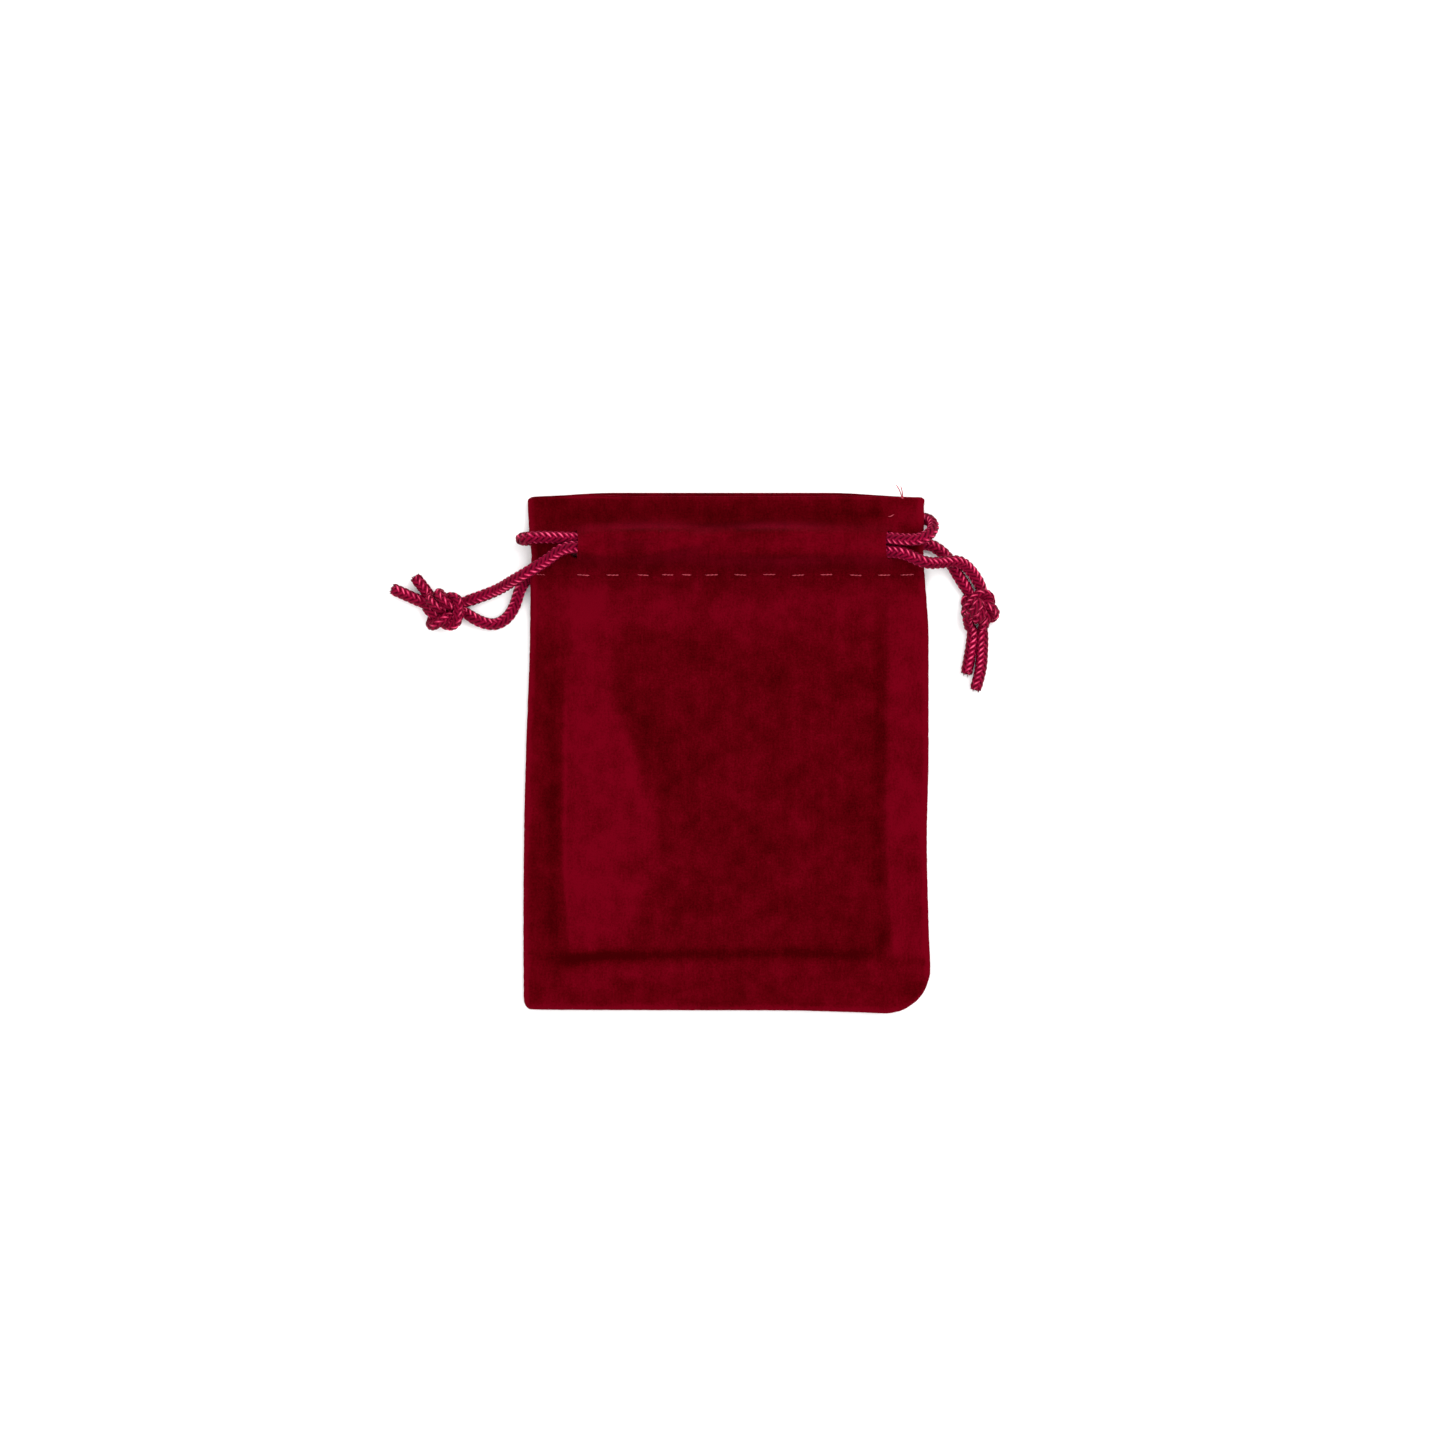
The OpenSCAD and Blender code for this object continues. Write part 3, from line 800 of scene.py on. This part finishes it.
def nap_and_painted_light(x, y, up):
    """How light the velvet looks from place to place: the way its pile lies, with painted light
    and shade along the outline, a seam allowance's edge, the creases, the casing and the fold.
    """
    tone = 0.47 + 0.06 * nap_waves(x, y)
    if up < 0:
        return tone + 0.12 * rumple(x + 50, y)
    wander = 0.35 * rumple(0 * x, 0.4 * y)
    panel = soft((y + 36.5) / 2) * soft((30 - y) / 6)
    lie = brushed(y) + 0.8 * rumple(x, 0.5 * y)
    edge = 0.9 + 1.6 * soft((y - 8) / 16)
    tone += panel * (0.36 * soft((x + 28.9 - wander) / edge) * soft((lie + 1.5 - x) / 5.5)
                     + 0.20 * band(x, lie - 1.8, 1.7) * band(y, -2, 12)
                     - 0.18 * band(x, lie + 3.0, 3.0) * band(y, 4, 14)
                     # a painted highlight along the left seam allowance's edge, on its slope
                     # that faces the light
                     + 0.32 * band(x, -28.3 + wander, 0.45) * band(y, -8, 24)
                     - 0.24 * band(x, -30.5, 1.5)
                     - 0.20 * band(x, 26.6 + wander, 1.2)
                     + 0.30 * soft((x - 27.6 - wander) / 1.4))
    # painted sheen: the velvet is lighter where the cloth rolls over at the outline and the pile
    # stands out sideways
    rim = np.minimum(np.minimum(x - left_edge(y), right_edge(y) - x), y - bottom_edge(x))
    tone += 0.70 * soft((1.5 - rim) / 1.3)
    # painted shade in the crease over the edge of the bottom seam allowance, lighter below it
    low = -35.4 + 0.3 * rumple(0.5 * x, 0 * y)
    tone += (-0.75 * band(y, low - 0.1, 1.0) * band(x, -24, 7)
             - 0.42 * band(y, low + 0.3, 1.0) * soft((28 - x) / 4) * soft((x + 26) / 8)
             + 0.25 * band(y, -38.6, 1.6) * band(x, -18, 9) + 0.06 * soft((-36 - y) / 2))
    # the casing, the crease under its cords, and the frill over it, with painted light and
    # shade:
    # a painted highlight along the casing's bulge, painted shade in the band above its cords,
    # the crease painted lighter, a painted highlight along the fold at the mouth, and darker
    # along the bottom edge
    tone += (0.26 * band(y, 36.6, 2.2) * soft((33 - np.abs(x)) / 6)
             + 0.12 * band(y, 33.6, 0.7) * soft((x + 20) / 4) * soft((29 - x) / 3)
             - 0.34 * band(y, 39.4, 0.8) * soft((20 - np.abs(x)) / 6)
             - 0.14 * band(y, 28.2, 1.2) * band(x, 3, 9) + 0.30 * band(y, 26, 4.5)
             - 0.14 * band(y, 41.6, 1.9) * soft((30 - x) / 6)
             + 0.34 * band(y, 41.4, 2.4) * soft((x - 26) / 4)
             + 0.9 * soft((y - 44.4) / 0.7) - 0.12 * band(y, -44.6, 0.8))
    return tone


# ---- cloth ----
ROLL = 1.15                 # how far in from the outline the cloth rolls down to its seam
ROLL_ANGLES = np.radians([125, 108, 90, 74, 58, 42, 27, 13])
FOLD_ANGLES = np.radians(np.arange(20, 161, 20))
SEAM_Z = 0.55 + CLOTH       # height of the seams
TUCK = 0.95                 # how far in from the outline the facings end
FOLD = 0.4                  # half the thickness of the fold at the mouth
GRID = 0.42                 # spacing of the cloth's points
OUTER_STEP = 0.36 / 6.5     # the same past the slits, as a share of the way to the edge
PANEL_Y = -33.0             # rows of points run level from here up, and below they follow
BOTTOM_STRIP = 10.8         # the bottom seam, over a strip of this height
GAPE = 1.5                  # how far a slit's outer lip stands back from the cords
LIP = 0.45                  # and its inner lip


def steps(a, b, step):
    """Even places from a up to but not including b."""
    return np.linspace(a, b, max(1, int(round(abs(b - a) / step))), endpoint=False)


def add_up(index, vectors, count):
    """Adds the vector of each edge or face to all its points."""
    total = np.zeros((count, 3))
    for corner in index.T:
        for axis in range(3):
            total[:, axis] += np.bincount(corner, vectors[:, axis], count)
    return total


def mouth_line(x, up):
    """How much lower the mouth is towards its two corners, and the front's fold all along
    but at the left."""
    drop = 0.75 * soft((np.abs(x + 1) - 19) / 16) + 0.5 * ramp((np.abs(x) - 33.6) / 1.4) ** 2
    level = (HALF_H - FRONT_TOP) * soft((np.abs(x) - 14) / 19)
    return drop - 0.3 + (0.15 * soft((x + 27) / 9) - level if up > 0 else 0)


class Sheet:
    """The cloth of one side of the pouch as one grid: up the outer ply from the bottom seam,
    over the fold at the mouth and down the facing. Columns run across it in four strips,
    cut apart from each other where the slits are."""

    def __init__(self, up, top, height, facing_height):
        """up is 1 for the front and -1 for the back, top the place of its fold."""
        self.up, self.top = up, top
        self.height, self.facing_height = height, facing_height
        face = [*steps(PANEL_Y, HEM_Y - 1.2, GRID), *steps(HEM_Y - 1.2, SLIT_LOW, 0.3),
                *steps(SLIT_LOW, SLIT_HIGH, 0.36), *steps(SLIT_HIGH, top - FOLD, 0.4),
                top - FOLD]
        facing = [*steps(top - FOLD, FACING_Y, 0.48)[1:], FACING_Y]
        # for each row: the angle that it is rolled down to the bottom seam, its share of the
        # way up the bottom strip (-1 above it), its place in y, its angle round the fold
        rows = [(angle, 0, 0, 0) for angle in ROLL_ANGLES]
        rows += [(0, share, 0, 0) for share in steps(0, 1, GRID / BOTTOM_STRIP)]
        rows += [(0, -1, y, 0) for y in face]
        rows += [(0, -1, top - FOLD, angle) for angle in FOLD_ANGLES]
        rows += [(0, -1, y, np.pi) for y in facing]
        self.roll, self.share, self.y, self.turn = np.array(rows, float).T
        self.is_face = self.turn < 0.01
        self.cut = (self.is_face & (self.share < 0) & (self.y > SLIT_LOW + 0.01)
                    & (self.y < SLIT_HIGH - 0.01))
        self.build()

    def along(self, x):
        """The rows' places in y down a column near x: the lowest follow the bottom seam."""
        slope = (bottom_edge(x + 0.1) - bottom_edge(x - 0.1)) / 0.2
        lean = np.clip(1 / np.sqrt(1 + slope**2), 0.33, 1)
        start = bottom_edge(x) + (ROLL * (1 - np.sin(self.roll)) + CLOTH / 2) / lean
        return np.where(self.share >= 0, lerp(start, PANEL_Y, np.maximum(self.share, 0)), self.y)

    def column(self, side, kind, value):
        """Mid-surface points down one column, with their places on the flat cloth and their nap
        with painted light and shade. kind is 'roll' (value an angle), 'edge' (value from 0 at
        the roll to 1 at the slit) or 'inner' (value the place itself)."""
        slit, half = SLIT[side], CLOTH / 2
        flat_edge = HALF_W - ROLL - half
        angle = value if kind == "roll" else 0.0
        inset = 1 - np.sin(angle)
        over = (1 - np.cos(self.turn)) / 2
        if kind == "roll":
            y = self.along(side * (HALF_W - 0.01 - (ROLL + half) * inset))
            edge = EDGE[side](y)
            x = edge - side * (ROLL * inset + half)
            tucked = edge - side * (TUCK + (ROLL + half - TUCK) * inset)
            x = np.where(self.is_face, x, lerp(x, tucked, over))
        elif kind == "edge":
            y = self.along(lerp(side * flat_edge, slit, value))
            x = lerp(EDGE[side](y) - side * (ROLL + half), slit, value)
        else:
            y = self.along(value)
            x = np.full(len(y), value)
        # out is 0 over the casing and 1 past the slit; the slit's lips stand apart
        gape = slit_gape(y)
        if kind == "inner":
            out = np.zeros(len(y))
            x = x - side * LIP * gape * soft(1 - side * (slit - x) / 3.5) * self.is_face
        else:
            past = np.maximum(side * (x - slit), 0)
            out = lerp(soft(past / SLIT_OPEN), 1, gape)
            x = x + side * GAPE * gape * soft(1 - past / 5.5) * self.is_face
        y = y - mouth_line(x, self.up) * soft((y - 39) / 5.5)
        # the face, rolled down at the edges, with the unevenness of its pile
        roll = np.maximum(self.roll, angle)
        rest = out * (OVER["back"](x, y) - OVER["back_in"](x, y))
        centre = SEAM_Z + rest + self.up * 0.30
        face = centre + (self.height(x, y, out) + half - centre) * np.cos(roll)
        pile = 0.006 * fuzz(x, y + 9 * (self.up < 0))
        face = face + pile * np.cos(roll)
        x = x + side * pile * 2.2 * np.sin(angle)
        y = y - np.abs(pile) * 2.2 * np.sin(self.roll)
        # over the fold to the facing
        facing = self.facing_height(x, y) + half
        z = lerp(face, facing, over)
        reach = (FOLD - half) * np.sin(self.turn)
        flat_x = side * (flat_edge + ROLL * value) if kind == "roll" else x
        flat_y = np.where(self.is_face, y, 2 * (self.top - FOLD) - y + 0.9 * over)
        return np.stack([x, y + reach, z, flat_x + 0 * x, flat_y, nap_and_painted_light(x, flat_y, self.up)],
                        axis=1)

    def build(self):
        points, quads, half = [], [], []
        middle, number, rows = None, 0, len(self.y)
        for side in (-1, 1):
            outer = [("roll", angle) for angle in ROLL_ANGLES]
            outer += [("edge", share) for share in [*steps(0, 1, OUTER_STEP), 1.0]]
            inner = [("inner", side * x) for x in [*steps(abs(SLIT[side]), 0, GRID), 0.0]]
            strip = np.array([self.column(side, *spec) for spec in outer + inner])
            ids = number + np.arange(len(strip) * rows).reshape(len(strip), rows)
            number += ids.size
            points.append(strip.reshape(-1, 6))
            # the slit's two lips are one column wherever it isn't cut, and the two halves of
            # the cloth share the middle column
            m = len(outer)
            ids[m - 1] = np.where(self.cut, ids[m - 1], ids[m])
            middle = ids[-1] if middle is None else middle
            ids[-1] = middle
            for part in (ids[:m], ids[m:]):
                q = np.stack([part[:-1, :-1], part[1:, :-1], part[1:, 1:], part[:-1, 1:]],
                             axis=-1).reshape(-1, 4)
                quads.append(q[:, ::-1] if side * self.up > 0 else q)
                half.append(np.full(len(q), side))
        self.points, self.quads = np.vstack(points), np.vstack(quads)
        self.half = np.concatenate(half)
        p, q = self.points[:, :3], self.quads
        normal = add_up(q, np.cross(p[q[:, 2]] - p[q[:, 0]], p[q[:, 3]] - p[q[:, 1]]), len(p))
        self.normal = normal / np.maximum(np.linalg.norm(normal, axis=1), 1e-9)[:, None]

    def piece(self, name, side):
        """A closed thick mesh of the cloth on one side of the middle."""
        used, quads = np.unique(self.quads[self.half == side], return_inverse=True)
        quads = quads.reshape(-1, 4)
        p, n = self.points[used, :3], self.normal[used]
        return thicken(name, p, n, quads, self.points[used, 3:5], self.points[used, 5])


def thicken(name, p, n, quads, flat, tone):
    """A closed mesh from a sheet's mid-surface points, their normals and its quads: velvet on
    the outside, knitted backing on the inside and a plump rim along its cut edges."""
    count, half = len(p), CLOTH / 2
    edges = np.concatenate([quads[:, [k, (k + 1) % 4]] for k in range(4)])
    key = np.sort(edges, axis=1)
    _, first, times = np.unique(key[:, 0] * count + key[:, 1], return_index=True,
                                return_counts=True)
    rim = edges[first[times == 1]]
    out = np.cross(p[rim[:, 1]] - p[rim[:, 0]], n[rim[:, 0]] + n[rim[:, 1]])
    on_rim = np.unique(rim)
    outward = add_up(rim, out, count)[on_rim]
    outward /= np.linalg.norm(outward, axis=1)[:, None]
    at = np.zeros(count, int)
    at[on_rim] = 2 * count + np.arange(len(on_rim))
    # the rim that joins the two halves in the middle stays flat
    plump = np.where(np.abs(p[on_rim, 0]) < 1e-6, 0.0, 0.14)[:, None]
    points = np.vstack([p + half * n, p - half * n, p[on_rim] + plump * outward])
    a, b = rim[:, 0], rim[:, 1]
    walls = np.vstack([np.stack([b, a, at[a], at[b]], 1),
                       np.stack([at[b], at[a], a + count, b + count], 1)])
    faces = np.vstack([quads, quads[:, ::-1] + count, walls])
    normals = np.vstack([n, -n, outward])
    flats = np.vstack([flat, flat, flat[on_rim] + (0.25, 0.25)])
    slots = np.zeros(len(faces), np.int32)
    slots[len(quads):2 * len(quads)] = 1
    obj = make_mesh(name, points, faces, flats[faces], VELVET)
    obj.data.materials.append(BACKING)
    obj.data.polygons.foreach_set("material_index", slots)
    obj.data.normals_split_custom_set(normals[faces].reshape(-1, 3))
    layer = obj.data.attributes.new("nap_and_painted_light", "FLOAT", "POINT")
    layer.data.foreach_set("value", np.concatenate([tone, tone, tone[on_rim]]
                                                   ).astype(np.float32))
    return obj


def draw_in(obj):
    """Bakes the transform of a piece on one side of the middle into its mesh, and reads the
    places of its points."""
    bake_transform(obj)
    place = np.empty(len(obj.data.vertices) * 3, np.float32)
    obj.data.vertices.foreach_get("co", place)


# ---- sewing ----
HEM_THREAD, UNDER_THREAD, SEAM_THREAD = 0.23, 0.22, 0.26       # thickness of the stitches
TWIST = 1.3                                 # length of thread in which its plies go once round
HEM_SAG, UNDER_SAG = 0.3, -0.25             # how far the hem stitches' ends go into the cloth
UNDER_Z, UNDER_END = 0.12, 22               # height of the back's, and how far out they go
STITCH, PITCH = 2.2, 3.2                    # length and spacing of the seams' stitches
SEAM_IN = 0.75                              # how far in from the outline the seams are sewn
ALLOWANCE_IN, ALLOWANCE_END = 0.95, 5.9     # and where their allowances start and end
ALLOWANCE_Z = 0.56                          # height of their underside
SEAM_START = -37.0                          # lower end of the side seams
BOTTOM_SEAM = -32.6, 28.0                   # ends of the bottom seam
BOTTOM_ALLOWANCE = -33.6, 31.0              # and of its allowance, with its rows of points
BOTTOM_ROWS = np.arange(-43.3, -37.05, 0.9)
# Two ends of seam thread left long, which stick out of the mouth, and a snipped bit of it
LOOSE_ENDS = [[(30.75, 43.4, 1.7), (30.6, 45.0, 2.1), (30.2, 46.1, 2.6), (29.55, 47.1, 2.5)],
              [(30.85, 43.4, 1.6), (30.8, 45.0, 2.2), (30.65, 46.0, 2.8), (30.4, 46.9, 2.5)]]
SNIPPED = [(28.2, 41.4), (28.75, 41.5), (29.3, 41.85)]
LOOSE_RADIUS = 0.10


def thread(a, b, thick, sag, row):
    """One stitch: two plies twisted together, its ends lower than its middle by sag."""
    a, b = np.array(a, float), np.array(b, float)
    t = np.linspace(0, 1, 19)
    line = a + (b - a) * t[:, None]
    line[:, 2] -= sag * (2 * np.abs(t - 0.5)) ** 5
    run = np.linalg.norm(b - a) * t
    _, normal, across = frames(line)
    plies = []
    for k in (0, 1):
        turn = np.pi * k + 2 * np.pi * run / TWIST
        out = np.cos(turn)[:, None] * normal + np.sin(turn)[:, None] * across
        plies.append(tube(line + 0.25 * thick * out, out, 0.27 * thick, 0.27 * thick, 6,
                          row * 2 + k))
    return plies


def stitches(name, ends, thick, sag, loose_ends=()):
    """A row of stitches between pairs of ends, and any loose ends of its thread."""
    parts = []
    for row, (a, b) in enumerate(ends):
        parts += thread(a, b, thick, sag, row)
    for points in loose_ends:
        line = smooth_line(points, 0.2)
        upward = np.tile((0.0, 0, 1), (len(line), 1))
        parts.append(tube(line, upward, LOOSE_RADIUS, LOOSE_RADIUS, 6, 90))
    return make_mesh(name, *gather(parts), THREAD, "yarn")


def seam_stitches(name, at, first, last, loose_ends=()):
    """Stitches along a seam, whose places are at(v) for v from first to last."""
    ends = [(at(v), at(v + STITCH)) for v in np.arange(first, last - STITCH, PITCH)]
    return stitches(name, ends, SEAM_THREAD, 0, loose_ends)


def on_front(x, y, side):
    """Top of the front cloth."""
    out = soft(np.maximum(side * (x - SLIT[side]), 0) / SLIT_OPEN)
    return front_height(x, y, out) + CLOTH


def allowance(name, inner, outer, rows):
    """The two plies of a seam allowance inside the pouch, as one soft strip between the
    places inner(y) and outer(y)."""
    ring = [(i, 1) for i in range(7)] + [(i, 0) for i in range(6, -1, -1)]
    points, quads, n = [], [], len(ring)
    for y in rows:
        for i, upper in ring:
            z = ALLOWANCE_Z + 0.04 * np.sin(0.9 * y + i) + upper * (2 * CLOTH - 0.06)
            points.append((lerp(inner(y), outer(y), i / 6), y, z))
    for first in range(0, (len(rows) - 1) * n, n):
        for k in range(n):
            a, b = first + k, first + (k + 1) % n
            quads.append((a, b, b + n, a + n))
    for first, turn in ((0, 1), ((len(rows) - 1) * n, -1)):
        for k in range(6):
            quad = (first + n - 1 - k, first + n - 2 - k, first + k + 1, first + k)
            quads.append(quad[::turn])
    points, quads = np.array(points), np.array(quads)
    return make_mesh(name, points, quads, points[quads][:, :, :2], BACKING)


# ---- build ----
make_camera()
make_light()
CORDS = cord_material()
left_string, left_line = drawstring("left_drawstring_braid", LEFT_ROUTE, LEFT_THROAT,
                                    LEFT_TAILS, LEFT_KNOT, *LEFT_TIE)
right_string, right_line = drawstring("right_drawstring_braid", RIGHT_ROUTE, RIGHT_THROAT,
                                      RIGHT_TAILS, RIGHT_KNOT, *RIGHT_TIE)
OVER = lay_cloth([left_line, right_line])
VELVET = velvet_material()
BACKING = backing_material()
THREAD = thread_material()
front = Sheet(1, FRONT_TOP, front_height, OVER["front_facing"])
back = Sheet(-1, HALF_H, back_height, OVER["back_facing"])
for word, side in SIDES.items():
    for face, sheet in (("front", front), ("back", back)):
        piece = sheet.piece(face + "_cloth_" + word, side)
        draw_in(piece)
        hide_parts(face + "_panel", face + "_casing", face + "_facing")

sewing = {}
draw = np.random.default_rng(4)
for word, side in SIDES.items():
    ends, under_ends = [], []
    for start, length in HEM:
        if start * side > 0:
            x, y = np.array([start, start + length]), HEM_Y + draw.uniform(-0.12, 0.12, 2)
            ends.append(list(zip(x, y, on_front(x, y, side) + 0.17)))
            if abs(start) < UNDER_END:
                under_ends.append([(x[k], y[k], UNDER_Z) for k in (0, 1)])
    x, y = np.array(SNIPPED).T
    snipped = [list(zip(x, y, on_front(x, y, side) + 0.1))] if side > 0 else ()
    hem = stitches("front_hem_stitches_" + word, ends, HEM_THREAD, HEM_SAG, snipped)
    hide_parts("front_hem_stitching")
    under = stitches("back_hem_stitches_" + word, under_ends, UNDER_THREAD,
                     UNDER_SAG)
    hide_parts("back_hem_stitching")
    edge = EDGE[side]
    seam = seam_stitches(word + "_seam_stitches",
                         lambda y: (edge(y) - side * SEAM_IN, y, SEAM_Z), SEAM_START, BAND_Y,
                         LOOSE_ENDS if side > 0 else ())
    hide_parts(word + "_seam_stitching")
    strip = allowance(word + "_seam_plies", lambda y: edge(y) - side * ALLOWANCE_IN,
                      lambda y: edge(y) - side * ALLOWANCE_END,
                      np.arange(SEAM_START, BAND_Y + 0.1, 1.0))
    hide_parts(word + "_seam_allowance")
    for part in (hem, under, seam, strip):
        draw_in(part)
    sewing[word] = (hem, under, seam, strip)

seam = seam_stitches("bottom_seam_stitches",
                     lambda x: (x, bottom_edge(x) + SEAM_IN, SEAM_Z), *BOTTOM_SEAM)
strip = allowance("bottom_seam_plies", lambda y: BOTTOM_ALLOWANCE[0],
                  lambda y: BOTTOM_ALLOWANCE[1], BOTTOM_ROWS)
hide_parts("bottom_seam_stitching")
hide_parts("bottom_seam_allowance")
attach(seam, "bag")
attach(strip, "bag")
sewing["right"] += (seam, strip)

# each side's sewing, and a length for its cloth that nothing uses
for word, side in SIDES.items():
    hem, under, seam, *strips = sewing[word]
    length = HALF_H + FRONT_TOP + (FRONT_TOP - FACING_Y)

floor = make_mesh("floor", [(-1500, -1500, 0), (1500, -1500, 0), (1500, 1500, 0),
                            (-1500, 1500, 0)], [(0, 1, 2, 3)], None, floor_material())

for piece, line, word, leaves in ((left_string, left_line, "left", LEFT_EXIT),
                                  (right_string, right_line, "right", RIGHT_EXIT)):
    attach(piece, word + "_drawstring")
    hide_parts(word + "_cord", word + "_knot", word + "_tails")
    length = np.linalg.norm(np.diff(line, axis=0), axis=1).sum()
